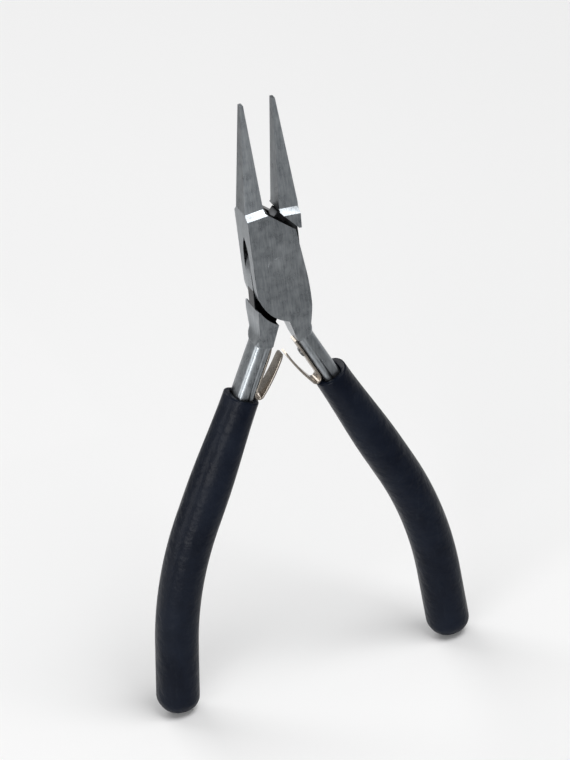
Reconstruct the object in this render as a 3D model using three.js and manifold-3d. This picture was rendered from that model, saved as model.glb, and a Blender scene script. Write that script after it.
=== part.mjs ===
// Flat nose pliers for jewellery work: two forged halves crossing in a box joint,
// a flush pivot pin, two flat spring leaves with their rivets, and two vinyl sleeves.
// Millimetres, +Z up. The jaws point up, X runs across the handles, the front faces -Y.
import * as THREE from 'three';
import { mergeVertices } from 'three/addons/utils/BufferGeometryUtils.js';
import Module from 'manifold-3d';

const wasm = await Module();
wasm.setup();

// Heights are measured from the pivot. Both halves are drawn with the jaws closed.
const openHalfAngle = THREE.MathUtils.degToRad(4.8);
const openAngle = THREE.MathUtils.degToRad(25);
const tipHeight = 35.0;
const jawBase = 13.1;
const boxTop = 12.0;
const rightShoulderDrop = 0.9;
const boxBottom = -10.0;
const neckTop = -16.2;
const neckEnd = 3;

// Half depths, front to back.
const jawTipDepth = 0.6;
const jawBaseDepth = 2.25;
const boxDepth = 3.4;
const shankDepth = 2.55;
const tongueDepth = 1.4;
const slotDepth = 1.52;

// Jaw width, from the gripping face outwards.
const gripClearance = 0.04;
const gripRelief = 0.55;
const tipWidth = 0.65;
const jawBaseWidth = 4.4;

// Box joint.
const edgeGap = 0.25;
const shoulderArc = { x: 4.2, z: -3.43, radius: 9.5 };
const notchAngle = THREE.MathUtils.degToRad(64.4);
const arcSides = 96;
const crossingTop = { x: -0.55, z: 12.4 };
const crossingEnd = { x: 4.75, z: 7.1 };
const cheekSide = [-5.15, 0];
const blockCorner = 0.55;
const slotMouthInside = [[-7, -6], [-3.4, -6], [-1.9, 5.6], [-2.6, 6.9], [-3.8, 7.5], [-7, 7.5]];
const slotMouthLens = [[slotDepth, -7], [slotDepth, 2.6], [1.25, 4.4], [0.75, 6.1], [0, 7.5]];
const tongueRight = [[1.2, -9], [3, -5.2], [4.5, -2.4], [5.15, 0.4], [4.9, 5], [4.5, 8.2]];
const tongueLeft = [[-1.2, 9], [-3, 5.2], [-4.5, 2.4], [-5.1, -0.4], [-4.75, -4], [-4.42, -8.6]];
const tongueTop = [0.6, 11.4];
const tongueRoot = [-2.2, -12.6];
const tongueFoot = [-0.1, -12.3];
const tongueSteps = 18;
const pinRadius = 2.45;
const pinHoleRadius = 2.5;
const pinSides = 48;
const sweepSteps = 6;
const hipSteps = 16;
const shoulderSteps = 14;
const outerHip = [[4.75, 7.1], [5.15, 0], [5.35, -5], [5.1, -10], [4.35, -14.2]];
const innerHip = [[4.42, -8.6], [4.35, -10.5], [3.95, -14.2]];
const rootTop = [[-0.1, -12.2], [-0.1, -8.6]];
const profileReach = 12;
const cutMargin = 1;
const weldDistance = 1e-5;

// Handle: straight from the box, then one bend that brings it upright.
const handleStart = { x: 1.9, z: -14.2 };
const handleAngle = THREE.MathUtils.degToRad(20.6);
const straightLength = 41.6;
const bendRadius = 75;
const endLength = 14.6;
const bendLength = bendRadius * handleAngle;
const handleLength = straightLength + bendLength + endLength;

// Tang and sleeve sections: half width across, half depth front to back.
const tangWidth = 1.8;
const tangInset = 0.05;
const tangEndGap = 2.6;
const tangSides = 32;
const tangRoundness = 0.5;
const neckFlare = { width: 0.6, depth: 0.3, length: 9 };
const sleeveStart = 14.2;
const sleeveTop = { width: 3.45, depth: 3.8 };
const sleeveMiddle = { width: 4.2, depth: 4.35 };
const sleeveSwell = 22;
const sleeveDome = 3.6;
const sleeveBoreGap = 0.3;
const sleeveSides = 24;
const sleeveRoundness = 0.9;
const sleeveClosing = 0.985;
const ringCounts = { straight: 5, bend: 8, end: 3, dome: 5 };

// Spring leaves and rivets.
const leafThickness = 0.45;
const leafHalfWidth = 1.7;
const leafGap = 0.25;
const leafTop = 3.1;
const leafTurn = 12.9;
const leafTurnRadius = 0.75;
const leafTip = { x: -1.28, z: -19.75 };
const leafTurnSteps = 8;
const leafRiseSteps = 5;
const rivetPlace = 6.6;
const rivetRadius = 0.6;
const rivetHoleRadius = 0.75;
const rivetHeadRadius = 1.05;
const rivetHeadHeight = 0.4;
const rivetCrownShare = 0.7;
const rivetDepth = 1.6;
const rivetSides = 20;

function material(color, metalness, roughness) {
  return new THREE.MeshStandardMaterial({ color, metalness, roughness });
}

function solid(geometry) {
  const bare = geometry.clone();
  bare.deleteAttribute('normal');
  bare.deleteAttribute('uv');
  const merged = mergeVertices(bare, weldDistance);
  const vertProperties = new Float32Array(merged.attributes.position.array);
  const triVerts = new Uint32Array(merged.index.array);
  return new wasm.Manifold(new wasm.Mesh({ numProp: 3, vertProperties, triVerts }));
}

function namedMesh(name, shape, look) {
  const data = shape.getMesh();
  const geometry = new THREE.BufferGeometry();
  geometry.setAttribute('position', new THREE.BufferAttribute(data.vertProperties, 3));
  geometry.setIndex(new THREE.BufferAttribute(data.triVerts, 1));
  geometry.computeVertexNormals();
  const mesh = new THREE.Mesh(geometry, look);
  mesh.name = name;
  return mesh;
}

function shapeFrom(points) {
  return new THREE.Shape(points.map(([x, z]) => new THREE.Vector2(x, z)));
}

// A plate standing in the XZ plane, centred on Y = 0.
function plate(points, halfDepth) {
  const extrusion = { depth: 2 * halfDepth, bevelEnabled: false };
  const geometry = new THREE.ExtrudeGeometry(shapeFrom(points), extrusion);
  geometry.rotateX(Math.PI / 2);
  geometry.translate(0, halfDepth, 0);
  return solid(geometry);
}

// A round bar along Y.
function bar(radius, halfLength, sides) {
  return solid(new THREE.CylinderGeometry(radius, radius, 2 * halfLength, sides));
}

function mirrored(points, side) {
  return points.map(([x, z]) => [side * x, z]);
}

// A bar along X with its outline drawn in the YZ plane.
function sideProfile(outline) {
  const extrusion = { depth: 2 * profileReach, bevelEnabled: false };
  const geometry = new THREE.ExtrudeGeometry(shapeFrom(outline), extrusion);
  geometry.translate(0, 0, -profileReach);
  geometry.rotateX(Math.PI / 2);
  geometry.rotateZ(Math.PI / 2);
  return solid(geometry);
}

function smoothLine(points, count) {
  const curve = new THREE.SplineCurve(points.map(([x, z]) => new THREE.Vector2(x, z)));
  return curve.getPoints(count).map((point) => [point.x, point.y]);
}

// Side view of one half: thin jaws, a sloping shoulder, the thick box and the root tapering to the shank.
function depthProfile(shoulderDrop) {
  const halfSide = [
    [jawTipDepth, tipHeight + cutMargin],
    [jawBaseDepth, jawBase - shoulderDrop],
    [boxDepth, boxTop - shoulderDrop],
    [boxDepth, boxBottom],
    [shankDepth, neckTop],
    [shankDepth, neckTop - profileReach],
  ];
  return sideProfile([...halfSide, ...mirrored(halfSide, -1).reverse()]);
}

// Outer side of the box down to the shank, for a half whose handle lies at +X.
function rootEdge(hipPoints) {
  const neck = [besideHandle(neckEnd, -tangWidth), besideHandle(neckEnd, tangWidth)];
  return [...smoothLine(hipPoints, hipSteps), ...neck];
}

// What is cut from a root's corners, so that they round down to the shank's section.
function neckTrim(side) {
  const section = (distance) => ({
    width: tangWidth + (neckEnd - distance) * neckFlare.width,
    depth: shankDepth + (neckEnd - distance) * neckFlare.depth,
  });
  const ends = [neckEnd - neckFlare.length, neckEnd + cutMargin];
  const kept = loft(ends, section, tangSides, tangRoundness);
  const top = boxBottom - cutMargin;
  const bottom = neckTop - 2 * cutMargin;
  const block = [[-profileReach, top], [-profileReach, bottom], [profileReach, bottom], [profileReach, top]];
  return plate(block, boxDepth + cutMargin).subtract(sideOf(kept, side));
}

// Outer side of the box above the pivot, from the crossing edge to the jaw, for a jaw at +X.
function jawEdge() {
  return [[crossingEnd.x, crossingEnd.z], [jawBaseWidth, jawBase], [tipWidth, tipHeight]];
}

function gripEdge() {
  return [[gripClearance, tipHeight], [gripRelief, jawBase]];
}

// Rounded lower edge of the cheeks, from the left side down to the notch between the handles.
function shoulderCurve() {
  return steps(0, notchAngle, shoulderSteps).map((turn) => [
    shoulderArc.x - shoulderArc.radius * Math.cos(turn),
    shoulderArc.z - shoulderArc.radius * Math.sin(turn),
  ]);
}

// Outer half: left jaw, box cheeks and right handle root.
function outerOutline() {
  return [
    ...mirrored(gripEdge(), -1),
    [crossingTop.x, crossingTop.z],
    ...rootEdge(outerHip),
    ...shoulderCurve().reverse(),
    cheekSide,
    ...mirrored(jawEdge(), -1),
  ];
}

// Inner half, full depth: right jaw with its shoulder, down to the crossing edge.
function innerJawOutline() {
  const slope = (crossingEnd.z - crossingTop.z) / (crossingEnd.x - crossingTop.x);
  const lift = edgeGap * Math.hypot(1, slope);
  const above = (x) => [x, crossingTop.z + (x - crossingTop.x) * slope + lift];
  const corner = above(crossingEnd.x - blockCorner);
  return [...gripEdge(), above(gripRelief), corner, [crossingEnd.x, corner[1]], ...jawEdge().slice(1)];
}

// Inner half, full depth: left shoulder and handle root, hollowed to clear the cheeks' rounded edge.
function innerRoot() {
  const side = mirrored(rootEdge(innerHip), -1);
  const blank = plate([...side, ...rootTop], boxDepth + cutMargin).intersect(depthProfile(0));
  const hollow = bar(shoulderArc.radius + edgeGap, boxDepth + 2 * cutMargin, arcSides);
  return blank.subtract(hollow.translate(shoulderArc.x, 0, shoulderArc.z)).subtract(neckTrim(-1));
}

// The tongue that passes through the box, joining right jaw to left handle.
function tongueOutline(extra) {
  const grow = ([x, z]) => {
    const scale = 1 + extra / Math.hypot(x, z);
    return [x * scale, z * scale];
  };
  const right = smoothLine(tongueRight, tongueSteps);
  const left = smoothLine(tongueLeft, tongueSteps);
  return [tongueFoot, ...right, tongueTop, ...left, tongueRoot].map(grow);
}

function rotated(shape, angle) {
  return shape.rotate([0, THREE.MathUtils.radToDeg(angle), 0]);
}

// Opening of the slot in the left side of the box, pointed at its upper end.
function mouth() {
  const lens = [...slotMouthLens, ...mirrored(slotMouthLens.slice(0, -1), -1).reverse()];
  return plate(slotMouthInside, slotDepth).intersect(sideProfile(lens));
}

// Everything the tongue needs clear as the halves open, with open slot mouths on both sides.
function slotCutter() {
  let cutter = plate(tongueOutline(edgeGap), slotDepth);
  const oneTongue = cutter;
  for (let step = 1; step <= sweepSteps; step += 1) {
    cutter = cutter.add(rotated(oneTongue, (openAngle * step) / sweepSteps));
  }
  const window = mouth();
  return cutter.add(window).add(rotated(window, Math.PI));
}

// Point and direction on the handle's centre line, a distance down from its start.
function handleAxis(distance) {
  const straight = Math.min(distance, straightLength);
  const turned = THREE.MathUtils.clamp(distance - straightLength, 0, bendLength) / bendRadius;
  const last = Math.max(distance - straightLength - bendLength, 0);
  const angle = handleAngle - turned;
  const bendX = bendRadius * (Math.cos(angle) - Math.cos(handleAngle));
  const bendZ = bendRadius * (Math.sin(handleAngle) - Math.sin(angle));
  return {
    x: handleStart.x + straight * Math.sin(handleAngle) + bendX,
    z: handleStart.z - straight * Math.cos(handleAngle) - bendZ - last,
    angle,
  };
}

// Closed skin over oval rings set along the handle's centre line.
function loft(distances, sectionAt, sides, roundness) {
  const positions = [];
  const indices = [];
  distances.forEach((distance) => {
    const axis = handleAxis(distance);
    const section = sectionAt(distance);
    for (let i = 0; i < sides; i += 1) {
      const turn = (2 * Math.PI * i) / sides;
      const across = Math.sign(Math.cos(turn)) * Math.abs(Math.cos(turn)) ** roundness * section.width;
      const deep = Math.sign(Math.sin(turn)) * Math.abs(Math.sin(turn)) ** roundness * section.depth;
      positions.push(axis.x + across * Math.cos(axis.angle), deep, axis.z + across * Math.sin(axis.angle));
    }
  });
  for (let ring = 0; ring < distances.length - 1; ring += 1) {
    for (let i = 0; i < sides; i += 1) {
      const a = ring * sides + i;
      const b = ring * sides + ((i + 1) % sides);
      indices.push(a, a + sides, b, b, a + sides, b + sides);
    }
  }
  const ends = [0, (distances.length - 1) * sides];
  ends.forEach((start, end) => {
    for (let i = 1; i < sides - 1; i += 1) {
      const fan = [start, start + i, start + i + 1];
      indices.push(...(end === 0 ? fan : fan.reverse()));
    }
  });
  const geometry = new THREE.BufferGeometry();
  geometry.setAttribute('position', new THREE.Float32BufferAttribute(positions, 3));
  geometry.setIndex(indices);
  return solid(geometry);
}

function steps(from, to, count) {
  return Array.from({ length: count + 1 }, (unused, i) => from + ((to - from) * i) / count);
}

// Ring places that follow the bend closely and the straight parts coarsely.
function ringPlaces(from, to) {
  const bendStart = straightLength;
  const bendEnd = straightLength + bendLength;
  const upper = steps(from, bendStart, ringCounts.straight).slice(0, -1);
  const middle = steps(bendStart, bendEnd, ringCounts.bend);
  return [...upper, ...middle, ...steps(bendEnd, to, ringCounts.end).slice(1)];
}

function tang(gap) {
  const section = () => ({ width: tangWidth + gap, depth: shankDepth - tangInset + gap });
  const places = ringPlaces(neckEnd - tangInset, handleLength - tangEndGap + gap);
  return loft(places, section, tangSides, tangRoundness);
}

function sleeveSection(distance) {
  const swell = THREE.MathUtils.smoothstep(distance, sleeveStart, sleeveStart + sleeveSwell);
  const dome = Math.max(distance - (handleLength - sleeveDome), 0) / sleeveDome;
  const closing = Math.sqrt(Math.max(1 - (sleeveClosing * dome) ** 2, 0));
  return {
    width: THREE.MathUtils.lerp(sleeveTop.width, sleeveMiddle.width, swell) * closing,
    depth: THREE.MathUtils.lerp(sleeveTop.depth, sleeveMiddle.depth, swell) * closing,
  };
}

function sleeve() {
  const domeStart = handleLength - sleeveDome;
  const turns = steps(0, Math.PI / 2, ringCounts.dome).slice(1);
  const dome = turns.map((turn) => domeStart + sleeveDome * Math.sin(turn));
  const places = [...ringPlaces(sleeveStart, domeStart), ...dome];
  const skin = loft(places, sleeveSection, sleeveSides, sleeveRoundness);
  return skin.subtract(tang(sleeveBoreGap));
}

// Direction across the straight part of the handle, pointing to the middle of the tool.
const inward = new THREE.Vector2(-Math.cos(handleAngle), -Math.sin(handleAngle));

function besideHandle(distance, offset) {
  const axis = handleAxis(distance);
  return [axis.x + inward.x * offset, axis.z + inward.y * offset];
}

// Spring leaf: flat against the shank, turned back on itself at its foot, then rising to the middle.
function leaf() {
  const middle = tangWidth + leafGap + leafThickness / 2;
  const top = new THREE.Vector2(...besideHandle(leafTop, middle));
  const centre = new THREE.Vector2(...besideHandle(leafTurn, middle + leafTurnRadius));
  const tip = new THREE.Vector2(leafTip.x, leafTip.z);
  const turn = steps(0, Math.PI, leafTurnSteps).map((angle) => new THREE.Vector2(
    centre.x - leafTurnRadius * (inward.x * Math.cos(angle) + inward.y * Math.sin(angle)),
    centre.y - leafTurnRadius * (inward.y * Math.cos(angle) - inward.x * Math.sin(angle)),
  ));
  const rise = new THREE.LineCurve(turn[turn.length - 1], tip);
  const line = [top, ...turn, ...rise.getPoints(leafRiseSteps).slice(1)];
  const edge = (sign) => line.map((point, i) => {
    const before = line[Math.max(i - 1, 0)];
    const after = line[Math.min(i + 1, line.length - 1)];
    const along = after.clone().sub(before).normalize();
    const shift = (sign * leafThickness) / 2;
    return [point.x - along.y * shift, point.y + along.x * shift];
  });
  return plate([...edge(1), ...edge(-1).reverse()], leafHalfWidth);
}

// A round bar pointing across the handle at the rivet, from one offset to another.
function rivetBar(radius, from, to) {
  const geometry = new THREE.CylinderGeometry(radius, radius, to - from, rivetSides);
  geometry.rotateZ(Math.PI / 2);
  geometry.translate(-(from + to) / 2, 0, 0);
  geometry.rotateY(-handleAngle);
  const axis = handleAxis(rivetPlace);
  geometry.translate(axis.x, 0, axis.z);
  return solid(geometry);
}

function rivet() {
  const headFrom = tangWidth + 2 * leafGap + leafThickness;
  const head = rivetBar(rivetHeadRadius, headFrom, headFrom + rivetHeadHeight / 2);
  const crown = rivetBar(rivetHeadRadius * rivetCrownShare, headFrom, headFrom + rivetHeadHeight);
  const stem = rivetBar(rivetRadius, tangWidth - rivetDepth, headFrom + rivetHeadHeight / 4);
  return head.add(crown).add(stem);
}

function rivetHole() {
  return rivetBar(rivetHoleRadius, tangWidth - rivetDepth - leafGap, tangWidth + 2 * cutMargin);
}

function pinHole() {
  return bar(pinHoleRadius, boxDepth + 2 * cutMargin, pinSides);
}

function sideOf(shape, side) {
  return side > 0 ? shape : shape.mirror([1, 0, 0]);
}

function outerHalf() {
  const blank = plate(outerOutline(), boxDepth + cutMargin).intersect(depthProfile(0));
  const forging = blank.subtract(neckTrim(1)).add(tang(0));
  return forging.subtract(slotCutter()).subtract(pinHole()).subtract(rivetHole());
}

function innerHalf() {
  const jaw = plate(innerJawOutline(), boxDepth + cutMargin).intersect(depthProfile(rightShoulderDrop));
  const tongue = plate(tongueOutline(0), tongueDepth);
  const forging = jaw.add(innerRoot()).add(tongue).add(sideOf(tang(0), -1));
  return forging.subtract(pinHole()).subtract(sideOf(rivetHole(), -1));
}

const polishedSteel = material(0x9c9c9a, 1.0, 0.32);
const springSteel = material(0xb0aca2, 1.0, 0.28);
const blackVinyl = material(0x0d1218, 0.0, 0.38);

// A handle's spring leaf, rivet and sleeve, for the handle at +X or -X.
function handleParts(label, side) {
  return [
    namedMesh(`${label}_leaf_spring`, sideOf(leaf().subtract(rivetHole()), side), springSteel.clone()),
    namedMesh(`${label}_spring_rivet`, sideOf(rivet(), side), springSteel.clone()),
    namedMesh(`${label}_grip`, sideOf(sleeve(), side), blackVinyl.clone()),
  ];
}

const outerGroup = new THREE.Group();
outerGroup.rotation.y = -openHalfAngle;
outerGroup.add(namedMesh('outer_half', outerHalf(), polishedSteel.clone()));
outerGroup.add(namedMesh('pivot_pin', bar(pinRadius, boxDepth, pinSides), polishedSteel.clone()));
outerGroup.add(...handleParts('right', 1));

const innerGroup = new THREE.Group();
innerGroup.rotation.y = openHalfAngle;
innerGroup.add(namedMesh('inner_half', innerHalf(), polishedSteel.clone()));
innerGroup.add(...handleParts('left', -1));

// The pliers stand on their handle ends, with the jaws a little open.
const pliers = new THREE.Group();
pliers.add(outerGroup, innerGroup);
pliers.updateMatrixWorld(true);
pliers.position.z = -new THREE.Box3().setFromObject(pliers, true).min.z;

export default pliers;
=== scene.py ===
"""Flat nose pliers on their handle ends: ground steel halves, leaf springs and black vinyl sleeves."""
import math

import bmesh
import bpy
from mathutils import Matrix, Vector


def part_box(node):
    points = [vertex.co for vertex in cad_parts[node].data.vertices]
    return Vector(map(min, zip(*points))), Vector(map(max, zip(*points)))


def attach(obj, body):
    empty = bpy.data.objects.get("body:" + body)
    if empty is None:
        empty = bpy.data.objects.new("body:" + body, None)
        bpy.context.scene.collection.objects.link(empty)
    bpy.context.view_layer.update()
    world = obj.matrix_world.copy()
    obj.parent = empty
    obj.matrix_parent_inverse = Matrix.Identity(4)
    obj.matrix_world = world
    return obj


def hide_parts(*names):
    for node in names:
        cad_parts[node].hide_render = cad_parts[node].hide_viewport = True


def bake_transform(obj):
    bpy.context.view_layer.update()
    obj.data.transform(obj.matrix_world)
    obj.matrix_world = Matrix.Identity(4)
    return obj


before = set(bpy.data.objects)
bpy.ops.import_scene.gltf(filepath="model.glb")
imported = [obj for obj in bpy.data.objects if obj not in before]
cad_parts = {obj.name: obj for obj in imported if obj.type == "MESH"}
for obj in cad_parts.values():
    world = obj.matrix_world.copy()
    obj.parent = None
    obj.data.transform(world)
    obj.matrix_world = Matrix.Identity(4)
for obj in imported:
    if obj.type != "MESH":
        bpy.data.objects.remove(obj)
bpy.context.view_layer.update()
scene = bpy.context.scene

MM = 0.001
OPEN_HALF = math.radians(4.8)
PIVOT_Z = (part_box("pivot_pin")[0].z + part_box("pivot_pin")[1].z) / 2 / MM
OUTER = "outer_half"
INNER = "inner_half"

# Lengths are in millimetres up to the studio. The handle line starts from the pivot, with the jaws closed.
HANDLE_X, HANDLE_Z = 1.9, -14.2
HANDLE_ANGLE = math.radians(20.6)
STRAIGHT = 41.6
BEND_RADIUS = 75.0
BEND = BEND_RADIUS * HANDLE_ANGLE
END_LENGTH = 14.6
HANDLE_LENGTH = STRAIGHT + BEND + END_LENGTH
TANG_HALF_WIDTH = 1.8
TANG_HALF_DEPTH = 2.5


def at_rest(x, y, z, side):
    """A point of the right handle with the jaws closed, placed on its side's handle at rest, in metres."""
    c, s = math.cos(OPEN_HALF), math.sin(OPEN_HALF)
    return Vector((side * (x * c - z * s), y, x * s + z * c + PIVOT_Z)) * MM


def drawn(point, side):
    """The inverse of at_rest: a point of one half turned back to where its jaws meet, in millimetres."""
    x, z = side * point.x / MM, point.z / MM - PIVOT_Z
    c, s = math.cos(OPEN_HALF), math.sin(OPEN_HALF)
    return x * c + z * s, point.y / MM, z * c - x * s


def handle_axis(distance):
    """Point and lean of the handle's middle line, a distance down from its start."""
    straight = min(distance, STRAIGHT)
    turned = min(max(distance - STRAIGHT, 0.0), BEND) / BEND_RADIUS
    last = max(distance - STRAIGHT - BEND, 0.0)
    angle = HANDLE_ANGLE - turned
    bend_x = BEND_RADIUS * (math.cos(angle) - math.cos(HANDLE_ANGLE))
    bend_z = BEND_RADIUS * (math.sin(HANDLE_ANGLE) - math.sin(angle))
    x = HANDLE_X + straight * math.sin(HANDLE_ANGLE) + bend_x
    z = HANDLE_Z - straight * math.cos(HANDLE_ANGLE) - bend_z - last
    return x, z, angle


def smooth(value, low, high):
    """Eases from 0 at the low value to 1 at the high one."""
    t = min(max((value - low) / (high - low), 0.0), 1.0)
    return t * t * (3 - 2 * t)


FLAT_SHARP = 32.0
ROUND_SHARP = 50.0


def mesh_object(name, bm, material, sharp=FLAT_SHARP):
    """A new object from a bmesh, shaded smooth with its edges over the sharp angle, in degrees, kept."""
    bmesh.ops.recalc_face_normals(bm, faces=bm.faces)
    mesh = bpy.data.meshes.new(name)
    bm.to_mesh(mesh)
    bm.free()
    mesh.polygons.foreach_set("use_smooth", [True] * len(mesh.polygons))
    mesh.set_sharp_from_angle(angle=math.radians(sharp))
    mesh.materials.append(material)
    obj = bpy.data.objects.new(name, mesh)
    scene.collection.objects.link(obj)
    return obj


def skin(bm, rings):
    """Joins rings of points, each with the same count, into a tube with closed ends."""
    made = [[bm.verts.new(point) for point in ring] for ring in rings]
    count = len(made[0])
    for upper, lower in zip(made, made[1:]):
        for i in range(count):
            j = (i + 1) % count
            bm.faces.new((upper[i], upper[j], lower[j], lower[i]))
    bm.faces.new(list(reversed(made[0])))
    bm.faces.new(made[-1])


# ---------------------------------------------------------------- materials

# Near black for the painted shade on the faces inside the joint.
PAINTED_SHADE_BLACK = (0.012, 0.012, 0.013)
VINYL_DARK = (0.0018, 0.0034, 0.0085)
VINYL_LIGHT = (0.0046, 0.0074, 0.0150)
VINYL_SCUFF = (0.011, 0.015, 0.023)


def node_material(name):
    material = bpy.data.materials.new(name)
    material.use_nodes = True
    tree = material.node_tree
    return material, tree, tree.nodes["Principled BSDF"]


def noise(tree, vector, scale, detail=3.0, roughness=0.55):
    node = tree.nodes.new("ShaderNodeTexNoise")
    node.inputs["Scale"].default_value = scale
    node.inputs["Detail"].default_value = detail
    node.inputs["Roughness"].default_value = roughness
    tree.links.new(vector, node.inputs["Vector"])
    return node.outputs["Fac"]


def stretched(tree, vector, scale):
    node = tree.nodes.new("ShaderNodeMapping")
    node.inputs["Scale"].default_value = scale
    tree.links.new(vector, node.inputs["Vector"])
    return node.outputs["Vector"]


def remap(tree, value, low, high, to_low, to_high):
    node = tree.nodes.new("ShaderNodeMapRange")
    node.inputs["From Min"].default_value = low
    node.inputs["From Max"].default_value = high
    node.inputs["To Min"].default_value = to_low
    node.inputs["To Max"].default_value = to_high
    tree.links.new(value, node.inputs["Value"])
    return node.outputs["Result"]


def math_node(tree, operation, first, second):
    node = tree.nodes.new("ShaderNodeMath")
    node.operation = operation
    for socket, value in zip(node.inputs, (first, second)):
        if isinstance(value, (int, float)):
            socket.default_value = value
        else:
            tree.links.new(value, socket)
    return node.outputs["Value"]


def blend_colour(tree, factor, first, second):
    node = tree.nodes.new("ShaderNodeMix")
    node.data_type = "RGBA"
    tree.links.new(factor, node.inputs["Factor"])
    for socket, value in zip((node.inputs["A"], node.inputs["B"]), (first, second)):
        if isinstance(value, tuple):
            socket.default_value = (*value, 1.0)
        else:
            tree.links.new(value, socket)
    return node.outputs["Result"]


def bump(tree, height, strength, distance, normal=None):
    node = tree.nodes.new("ShaderNodeBump")
    node.inputs["Strength"].default_value = strength
    node.inputs["Distance"].default_value = distance
    tree.links.new(height, node.inputs["Height"])
    if normal is not None:
        tree.links.new(normal, node.inputs["Normal"])
    return node.outputs["Normal"]


def scaled(tree, value, factor):
    return math_node(tree, "MULTIPLY", value, factor)


def added(tree, first, second):
    return math_node(tree, "ADD", first, second)


def steel(name, dark, light, roughness, grain):
    """Ground steel: lengthwise grinding lines, cloudy polish, and painted shade, near black, on the faces
    inside the joint.
    """
    material, tree, shader = node_material(name)
    place = tree.nodes.new("ShaderNodeTexCoord").outputs["Object"]
    lines = noise(tree, stretched(tree, place, grain), 8.0, 5.0, 0.7)
    fine = noise(tree, stretched(tree, place, tuple(3.4 * g for g in grain)), 8.0, 2.0, 0.5)
    clouds = noise(tree, place, 520.0, 5.0, 0.62)
    patches = noise(tree, place, 130.0, 3.0, 0.5)
    mottled = added(tree, scaled(tree, clouds, 0.28), scaled(tree, patches, 0.2))
    tone = added(tree, scaled(tree, lines, 0.52), mottled)
    colour = blend_colour(tree, remap(tree, tone, 0.38, 0.62, 0.0, 1.0), dark, light)
    # Painted shade: faces marked inside the joint are blended to near black, a little mottled by the
    # clouds.
    painted_shade = tree.nodes.new("ShaderNodeAttribute")
    painted_shade.attribute_name = "painted_shade"
    painted_shade_amount = math_node(tree, "MULTIPLY", painted_shade.outputs["Fac"], remap(tree, clouds, 0.3, 0.7, 1.0, 0.86))
    tree.links.new(blend_colour(tree, painted_shade_amount, colour, PAINTED_SHADE_BLACK), shader.inputs["Base Color"])
    shader.inputs["Metallic"].default_value = 1.0
    satin = added(tree, scaled(tree, clouds, 0.6), scaled(tree, fine, 0.4))
    tree.links.new(remap(tree, satin, 0.35, 0.65, *roughness), shader.inputs["Roughness"])
    relief = added(tree, lines, scaled(tree, fine, 0.5))
    tree.links.new(bump(tree, relief, 0.16, 0.05 * MM), shader.inputs["Normal"])
    return material


def vinyl(name):
    """Dipped black vinyl: satin, pebbled, with cloudy gloss and a few soft scuffs."""
    material, tree, shader = node_material(name)
    place = tree.nodes.new("ShaderNodeTexCoord").outputs["Object"]
    pebbles = noise(tree, place, 1600.0, 2.0, 0.5)
    lumps = noise(tree, place, 640.0, 2.0, 0.45)
    clouds = noise(tree, place, 110.0, 4.0, 0.6)
    rubbed = noise(tree, stretched(tree, place, (520.0, 520.0, 60.0)), 3.0, 5.0, 0.7)
    scuffs = remap(tree, rubbed, 0.58, 0.72, 0.0, 1.0)
    tone = remap(tree, clouds, 0.35, 0.65, 0.0, 1.0)
    colour = blend_colour(tree, tone, VINYL_DARK, VINYL_LIGHT)
    scuffed = blend_colour(tree, scaled(tree, scuffs, 0.4), colour, VINYL_SCUFF)
    tree.links.new(scuffed, shader.inputs["Base Color"])
    gloss = added(tree, clouds, scaled(tree, scuffs, 0.25))
    tree.links.new(remap(tree, gloss, 0.35, 0.85, 0.30, 0.52), shader.inputs["Roughness"])
    shader.inputs["Specular IOR Level"].default_value = 0.11
    pebbled = bump(tree, pebbles, 0.35, 0.12 * MM)
    tree.links.new(bump(tree, lumps, 0.6, 0.3 * MM, pebbled), shader.inputs["Normal"])
    return material


STEEL = steel(
    "ground_steel", (0.195, 0.212, 0.228), (0.37, 0.392, 0.41), (0.24, 0.42), (330.0, 330.0, 26.0)
)
RIVET_STEEL = steel(
    "rivet_steel", (0.18, 0.185, 0.19), (0.32, 0.325, 0.33), (0.28, 0.44), (240.0, 240.0, 60.0)
)
# The spring steel's tan tint is a painted reflection of a wooden rack; under it the leaves are plain steel
# grey.
SPRING_STEEL_WOOD_REFLECTION = steel(
    "spring_steel_painted_reflection", (0.27, 0.242, 0.212), (0.46, 0.414, 0.364), (0.20, 0.34), (300.0, 300.0, 20.0)
)
VINYL = vinyl("dipped_vinyl")


# ---------------------------------------------------------------- steel halves

ARC_X, ARC_Z, ARC_RADIUS = 4.2, -3.43, 9.5
CROSSING_TOP = (-0.55, 12.4)
CROSSING_END = (4.75, 7.1)
EDGE_GAP = 0.25
SLOT_DEPTH = 1.56
WELD_DISTANCE = 0.003
FACET_ANGLE = math.radians(0.6)
EDGE_ANGLE = math.radians(24)
EDGE_ROUNDING = 0.22
PIN_CLEAR = 2.8
SHANK_TOP = -17.0
JOINT_TOP = 12.0
INSIDE_DEPTH = 1.7
WALL_TOLERANCE = 0.1
ARC_TOP = -6.0
ARC_RIGHT = 1.0
CROSSING_LEFT = -0.6
FACING_FRONT = 0.9
FACING_SIDE = 0.5
JOINT_REACH = 12.3
SLOT_REACH = 4.7
SLOT_END_REACH = 4.0
SLOT_END = 9.0
TONGUE_REACH = 14.0


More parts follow.
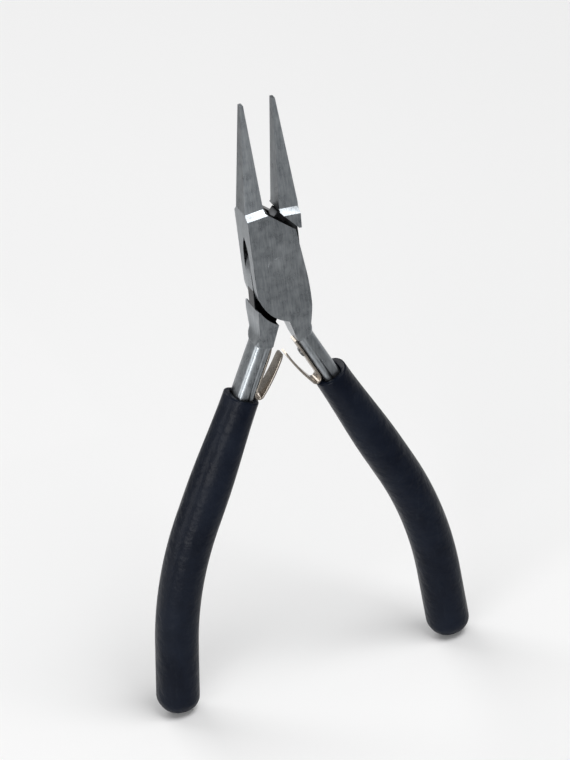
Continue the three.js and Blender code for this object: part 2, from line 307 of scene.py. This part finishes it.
def softened_half(node, name, body, side):
    """The forged half with its outer edges rounded over, as ground and tumbled steel has them."""
    bm = bmesh.new()
    bm.from_mesh(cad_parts[node].data)
    bmesh.ops.remove_doubles(bm, verts=bm.verts, dist=WELD_DISTANCE * MM)
    bmesh.ops.dissolve_limit(bm, angle_limit=FACET_ANGLE, verts=bm.verts, edges=bm.edges)
    layer = bm.edges.layers.float.new("bevel_weight_edge")
    for edge in bm.edges:
        if len(edge.link_faces) == 2 and edge.calc_face_angle(0.0) > EDGE_ANGLE:
            if all(outside(vertex.co) for vertex in edge.verts):
                edge[layer] = 1.0
    bm.normal_update()
    bm.faces.index_update()
    # Painted shade: faces inside the joint are marked here, for the steel to darken them to near black.
    painted_shade_marks = [painted_shade_face(face, side) for face in bm.faces]
    piece = mesh_object(name, bm, STEEL)
    piece.data.attributes.new("painted_shade", "FLOAT", "FACE").data.foreach_set("value", painted_shade_marks)
    modifier = piece.modifiers.new("edge_rounding", "BEVEL")
    modifier.limit_method = "WEIGHT"
    modifier.width = EDGE_ROUNDING * MM
    modifier.segments = 3
    modifier.harden_normals = True
    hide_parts(node)
    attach(piece, body)


def outside(point):
    """True away from the slot, the pin hole and the rivet hole."""
    flat = abs(point.y) / MM
    from_pivot = math.hypot(point.x, point.z - PIVOT_Z * MM) / MM
    height = point.z / MM - PIVOT_Z
    if from_pivot < PIN_CLEAR or height < SHANK_TOP:
        return False
    return height > JOINT_TOP or flat > INSIDE_DEPTH


def painted_shade_face(face, side):
    """One for faces inside the joint, which get painted shade, near black: slot walls, tongue faces and
    gap walls.
    """
    x, y, z = drawn(face.calc_center_median(), side)
    x *= side
    if abs(y) < SLOT_DEPTH and abs(face.normal.y) > FACING_FRONT and math.hypot(x, z) < TONGUE_REACH:
        return 1.0
    if abs(face.normal.y) > FACING_SIDE:
        return 0.0
    from_arc = math.hypot(x - ARC_X, z - ARC_Z) - ARC_RADIUS
    if -WALL_TOLERANCE < from_arc < EDGE_GAP + WALL_TOLERANCE and x < ARC_RIGHT and z < ARC_TOP:
        return 1.0
    run = Vector((CROSSING_END[0] - CROSSING_TOP[0], CROSSING_END[1] - CROSSING_TOP[1])).normalized()
    from_crossing = (z - CROSSING_TOP[1]) * run.x - (x - CROSSING_TOP[0]) * run.y
    if -WALL_TOLERANCE < from_crossing < EDGE_GAP + WALL_TOLERANCE and x > CROSSING_LEFT:
        return 1.0
    from_pivot = math.hypot(x, z)
    reach = SLOT_REACH if from_pivot < SLOT_END else SLOT_END_REACH
    return 1.0 if from_pivot < JOINT_REACH and abs(x) < reach and abs(y) < SLOT_DEPTH else 0.0


softened_half("outer_half", "forged_outer_half", OUTER, 1)
softened_half("inner_half", "forged_inner_half", INNER, -1)


# ---------------------------------------------------------------- pivot pin

def pivot_pin():
    """The pin is ground flush with the box faces, so only a hairline shows round it."""
    radius, half, bevel, sides = 2.49, 3.4, 0.015, 48
    ends = ((radius - bevel, half), (radius, half - bevel))
    rings = []
    for r, y in [(r, -y) for r, y in ends] + list(reversed(ends)):
        turns = [2 * math.pi * i / sides for i in range(sides)]
        rings.append([at_rest(r * math.sin(turn), y, r * math.cos(turn), 1) for turn in turns])
    bm = bmesh.new()
    skin(bm, rings)
    piece = mesh_object("ground_pivot_pin", bm, STEEL)
    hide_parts("pivot_pin")
    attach(piece, OUTER)


pivot_pin()


# ---------------------------------------------------------------- vinyl sleeves

SLEEVE_START = 14.2
SLEEVE_SWELL = 22.0
RIM_SIZE = (3.45, 3.8)
GRIP_SIZE = (4.185, 4.35)
SLEEVE_POWER = 0.9
BORE_POWER = 0.55
RIM_FILLET = 0.32
BORE_END_GAP = 2.3
BORE_STEPS = 40
RIM_STEPS = 6
GRIP_STEPS = 84
DOME = 3.6
DOME_STEPS = 14
DOME_CLOSING = 0.995
SLEEVE_SIDES = 72


def oval(place, width, depth, side, power):
    """One ring across the handle."""
    x, z, angle = place
    ring = []
    for i in range(SLEEVE_SIDES):
        turn = 2 * math.pi * i / SLEEVE_SIDES
        across = math.copysign(abs(math.cos(turn)) ** power, math.cos(turn)) * width
        deep = math.copysign(abs(math.sin(turn)) ** power, math.sin(turn)) * depth
        ring.append(at_rest(x + across * math.cos(angle), deep, z + across * math.sin(angle), side))
    return ring


def sleeve_half_size(distance):
    """Half width and half depth of the sleeve, a distance down the handle."""
    swell = smooth(distance, SLEEVE_START, SLEEVE_START + SLEEVE_SWELL)
    return [rim + (grip - rim) * swell for rim, grip in zip(RIM_SIZE, GRIP_SIZE)]


def sleeve(name, node, side, body):
    """A dipped sleeve: rolled rim with its wall showing, a long swell, and a rounded closed end."""
    rings = []

    def bore_ring(distance, gap):
        place = handle_axis(distance)
        rings.append(oval(place, TANG_HALF_WIDTH + gap, TANG_HALF_DEPTH + gap, side, BORE_POWER))

    def skin_ring(distance, shrink=0.0, scale=1.0):
        width, depth = sleeve_half_size(distance)
        place = handle_axis(distance)
        rings.append(oval(place, (width - shrink) * scale, (depth - shrink) * scale, side, SLEEVE_POWER))

    bore_end = HANDLE_LENGTH - BORE_END_GAP
    for i in range(BORE_STEPS + 1):
        bore_ring(bore_end + (SLEEVE_START + 0.5 - bore_end) * i / BORE_STEPS, 0.14)
    for down, gap in ((0.22, 0.17), (0.06, 0.28), (0.0, 0.44)):
        bore_ring(SLEEVE_START + down, gap)
    for i in range(RIM_STEPS + 1):
        turn = math.pi / 2 * i / RIM_STEPS
        skin_ring(SLEEVE_START + RIM_FILLET * (1 - math.cos(turn)), RIM_FILLET * (1 - math.sin(turn)))
    grip_start = SLEEVE_START + RIM_FILLET + 0.6
    dome_start = HANDLE_LENGTH - DOME
    for i in range(GRIP_STEPS + 1):
        skin_ring(grip_start + (dome_start - grip_start) * i / GRIP_STEPS)
    for i in range(1, DOME_STEPS + 1):
        rise = math.sin(math.pi / 2 * i / DOME_STEPS)
        skin_ring(dome_start + DOME * rise, 0.0, math.sqrt(1 - (DOME_CLOSING * rise) ** 2))
    bm = bmesh.new()
    skin(bm, rings)
    piece = mesh_object(name, bm, VINYL, sharp=ROUND_SHARP)
    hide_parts(node)
    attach(piece, body)


sleeve("right_vinyl_sleeve", "right_grip", 1, OUTER)
sleeve("left_vinyl_sleeve", "left_grip", -1, INNER)


# ---------------------------------------------------------------- leaf springs and rivets

INWARD = (-math.cos(HANDLE_ANGLE), -math.sin(HANDLE_ANGLE))
LEAF_THICK = 0.45
LEAF_CORNER = (0.72, 0.9, 0.97)
LEAF_HALF_WIDTH = 1.7
LEAF_EDGE = 0.36
LEAF_GAP = 0.03
LEAF_OFFSET = TANG_HALF_WIDTH + LEAF_GAP + LEAF_THICK / 2
LEAF_TURN = 12.9
LEAF_TURN_RADIUS = 0.86
LEAF_TOP = 3.1
LEAF_TIP = (-1.28, -19.75)
LEAF_BOW = 0.25
LEAF_NARROWING = 0.16
FOOT_STEPS = 12
TURN_STEPS = 16
RISE_STEPS = 20


def beside(distance, offset):
    x, z, _ = handle_axis(distance)
    return Vector((x + INWARD[0] * offset, z + INWARD[1] * offset))


def leaf_foot():
    """Middle line of a leaf's fixed part: down the shank and round the hairpin."""
    run = LEAF_TURN - LEAF_TOP
    points = [beside(LEAF_TOP + run * i / FOOT_STEPS, LEAF_OFFSET) for i in range(FOOT_STEPS)]
    centre = beside(LEAF_TURN, LEAF_OFFSET + LEAF_TURN_RADIUS)
    inward = Vector(INWARD)
    down = Vector((-inward.y, inward.x))
    for i in range(TURN_STEPS + 1):
        angle = math.pi * i / TURN_STEPS
        points.append(centre + (down * math.sin(angle) - inward * math.cos(angle)) * LEAF_TURN_RADIUS)
    return points


def leaf_rise(start):
    """Middle line of a leaf's free part, slightly bowed, from the hairpin to the middle."""
    along = Vector(LEAF_TIP) - start
    bow = Vector((-along.y, along.x)).normalized() * LEAF_BOW
    shares = [i / RISE_STEPS for i in range(RISE_STEPS + 1)]
    return [start + along * t + bow * (4 * t * (1 - t)) for t in shares]


def leaf_strip(name, node, side, points, narrowing, ends):
    """A strip along a line: it narrows towards its last point, and its free ends have clipped corners."""
    total = len(points) - 1
    rings = []
    for i, point in enumerate(points):
        along = (points[min(i + 1, total)] - points[max(i - 1, 0)]).normalized()
        half_width = LEAF_HALF_WIDTH * (1 - narrowing * smooth(i / total, 0.0, 1.0))
        for end, place in zip(ends, (i, total - i)):
            if end and place < len(LEAF_CORNER):
                half_width *= LEAF_CORNER[place]
        rings.append([
            at_rest(point.x - along.y * t, y, point.y + along.x * t, side)
            for y, t in leaf_section(half_width, LEAF_THICK / 2, LEAF_THICK * LEAF_EDGE)
        ])
    bm = bmesh.new()
    skin(bm, rings)
    piece = mesh_object(name, bm, SPRING_STEEL_WOOD_REFLECTION, sharp=ROUND_SHARP)
    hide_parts(node)
    return piece


def leaf(name, node, side, body):
    """The foot rides on its handle; the free part is a fixed piece on no body, its tip close to the other
    leaf's tip.
    """
    foot_line = leaf_foot()
    rise_line = leaf_rise(foot_line[-1])
    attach(leaf_strip(name + "_foot", node, side, foot_line, 0.0, (True, False)), body)
    free = leaf_strip(name + "_free", node, side, rise_line, LEAF_NARROWING, (False, True))
    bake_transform(free)


def leaf_section(half_width, half_thick, edge):
    """Cross-section of rolled strip with rounded edges."""
    points = []
    for corner_y, corner_t, start in ((1, 1, 0.0), (-1, 1, 0.5), (-1, -1, 1.0), (1, -1, 1.5)):
        for k in range(4):
            angle = math.pi * (start + k / 6)
            points.append((
                corner_y * (half_width - edge) + edge * math.cos(angle),
                corner_t * (half_thick - edge * 0.6) + edge * 0.6 * math.sin(angle),
            ))
    return points


leaf("right_leaf", "right_leaf_spring", 1, OUTER)
leaf("left_leaf", "left_leaf_spring", -1, INNER)


RIVET_PLACE = 6.6
RIVET_SHANK_RADIUS = 0.55
RIVET_SHANK_START = 0.3
RIVET_HEAD_RADIUS = 1.05
RIVET_CROWN = 0.32
RIVET_CROWN_STEPS = 8
RIVET_SIDES = 40


def rivet_profile():
    """Radius and height off the handle's middle line, from the shank's end to the top of the crown."""
    leaf_face = TANG_HALF_WIDTH + LEAF_GAP + LEAF_THICK
    under, rim = leaf_face - 0.02, leaf_face + 0.06
    profile = [(RIVET_SHANK_RADIUS, RIVET_SHANK_START), (RIVET_SHANK_RADIUS, under)]
    profile += [(RIVET_HEAD_RADIUS - 0.05, under), (RIVET_HEAD_RADIUS, rim)]
    for i in range(1, RIVET_CROWN_STEPS + 1):
        turn = math.pi / 2 * i / RIVET_CROWN_STEPS
        profile.append((RIVET_HEAD_RADIUS * math.cos(turn) + 0.001, rim + RIVET_CROWN * math.sin(turn)))
    return profile


def rivet(name, node, side, body):
    """A domed rivet head on the leaf, with its shank set in the handle."""
    rings = []
    x0, z0, _ = handle_axis(RIVET_PLACE)
    down = Vector((-INWARD[1], INWARD[0]))
    for r, offset in rivet_profile():
        ring = []
        for i in range(RIVET_SIDES):
            turn = 2 * math.pi * i / RIVET_SIDES
            x = x0 + INWARD[0] * offset + down.x * r * math.cos(turn)
            z = z0 + INWARD[1] * offset + down.y * r * math.cos(turn)
            ring.append(at_rest(x, r * math.sin(turn), z, side))
        rings.append(ring)
    bm = bmesh.new()
    skin(bm, rings)
    piece = mesh_object(name, bm, RIVET_STEEL, sharp=ROUND_SHARP)
    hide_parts(node)
    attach(piece, body)


rivet("right_rivet", "right_spring_rivet", 1, OUTER)
rivet("left_rivet", "left_spring_rivet", -1, INNER)


# ---------------------------------------------------------------- studio, in metres

def floor():
    """A wide, pale, matt floor."""
    bm = bmesh.new()
    bmesh.ops.create_grid(bm, x_segments=2, y_segments=2, size=3.0)
    material, tree, shader = node_material("pale_floor")
    place = tree.nodes.new("ShaderNodeTexCoord").outputs["Object"]
    tone = remap(tree, noise(tree, place, 3.0, 2.0, 0.5), 0.3, 0.7, 0.0, 1.0)
    pale = blend_colour(tree, tone, (0.86, 0.86, 0.86), (0.89, 0.89, 0.89))
    tree.links.new(pale, shader.inputs["Base Color"])
    shader.inputs["Roughness"].default_value = 0.75
    shader.inputs["Specular IOR Level"].default_value = 0.15
    obj = mesh_object("studio_floor", bm, material)


CARD_HEIGHT = 0.4 * MM


def reflection_card(name, centre, size, tone):
    """A grey card lying on the floor, seen only in the tool's reflections, as a studio flag."""
    bm = bmesh.new()
    bmesh.ops.create_grid(bm, x_segments=1, y_segments=1, size=0.5)
    for vertex in bm.verts:
        x, y = centre[0] + vertex.co.x * size[0], centre[1] + vertex.co.y * size[1]
        vertex.co = Vector((x, y, CARD_HEIGHT))
    material, _, shader = node_material(name + "_grey")
    shader.inputs["Base Color"].default_value = (tone, tone, tone, 1.0)
    shader.inputs["Roughness"].default_value = 0.9
    obj = mesh_object(name, bm, material)
    obj.visible_camera = False
    obj.visible_diffuse = False
    obj.visible_shadow = False
    obj.visible_transmission = False


def softbox(name, place, size, power):
    """A rectangular light aimed at the tool's middle."""
    data = bpy.data.lights.new(name, "AREA")
    data.shape = "RECTANGLE"
    data.size, data.size_y = size
    data.energy = power
    obj = bpy.data.objects.new(name, data)
    obj.location = place
    obj.rotation_mode = "QUATERNION"
    obj.rotation_quaternion = (TOOL_MIDDLE - Vector(place)).to_track_quat("-Z", "Y")
    scene.collection.objects.link(obj)
    return obj


floor()
world = bpy.data.worlds.new("studio_world")
world.use_nodes = True
background = world.node_tree.nodes["Background"]
background.inputs["Color"].default_value = (1.0, 1.0, 1.0, 1.0)
background.inputs["Strength"].default_value = 0.30
scene.world = world

TOOL_MIDDLE = Vector((0.0, 0.0, 0.075))
softbox("top_softbox", (0.25, -0.35, 1.0), (0.7, 0.5), 6.5)
softbox("left_softbox", (-0.72, -0.76, 0.26), (0.75, 0.50), 7.0)
softbox("back_softbox", (-0.3, 0.9, 0.8), (0.9, 0.6), 5.2)
# Low on the left, and seen only in reflections: the bright stripe along the left shank.
side_softbox = softbox("side_softbox", (-0.95, 0.12, 0.2), (0.5, 0.36), 1.9)
side_softbox.visible_diffuse = False
reflection_card("front_card", (0.17, -0.21), (0.34, 0.32), 0.32)
reflection_card("side_card", (-0.04, 0.26), (0.08, 0.30), 0.85)
reflection_card("back_card", (-0.21, 0.32), (0.26, 0.32), 0.22)


# ---------------------------------------------------------------- camera

AIM = Vector((0.0, 0.0, 0.066))
DISTANCE = 1.49


def camera():
    azimuth, elevation, roll = math.radians(-19.3), math.radians(29.2), math.radians(-5.9)
    away = Vector((
        math.sin(azimuth) * math.cos(elevation),
        -math.cos(azimuth) * math.cos(elevation),
        math.sin(elevation),
    ))
    data = bpy.data.cameras.new("camera")
    obj = bpy.data.objects.new("camera", data)
    obj.location = AIM + away * DISTANCE
    obj.rotation_mode = "QUATERNION"
    turn = (-away).to_track_quat("-Z", "Y")
    obj.rotation_quaternion = turn @ Matrix.Rotation(roll, 3, "Z").to_quaternion()
    data.sensor_width = 36.0
    data.lens = 365.0
    scene.collection.objects.link(obj)
    scene.camera = obj


camera()
scene.view_settings.view_transform = "Standard"
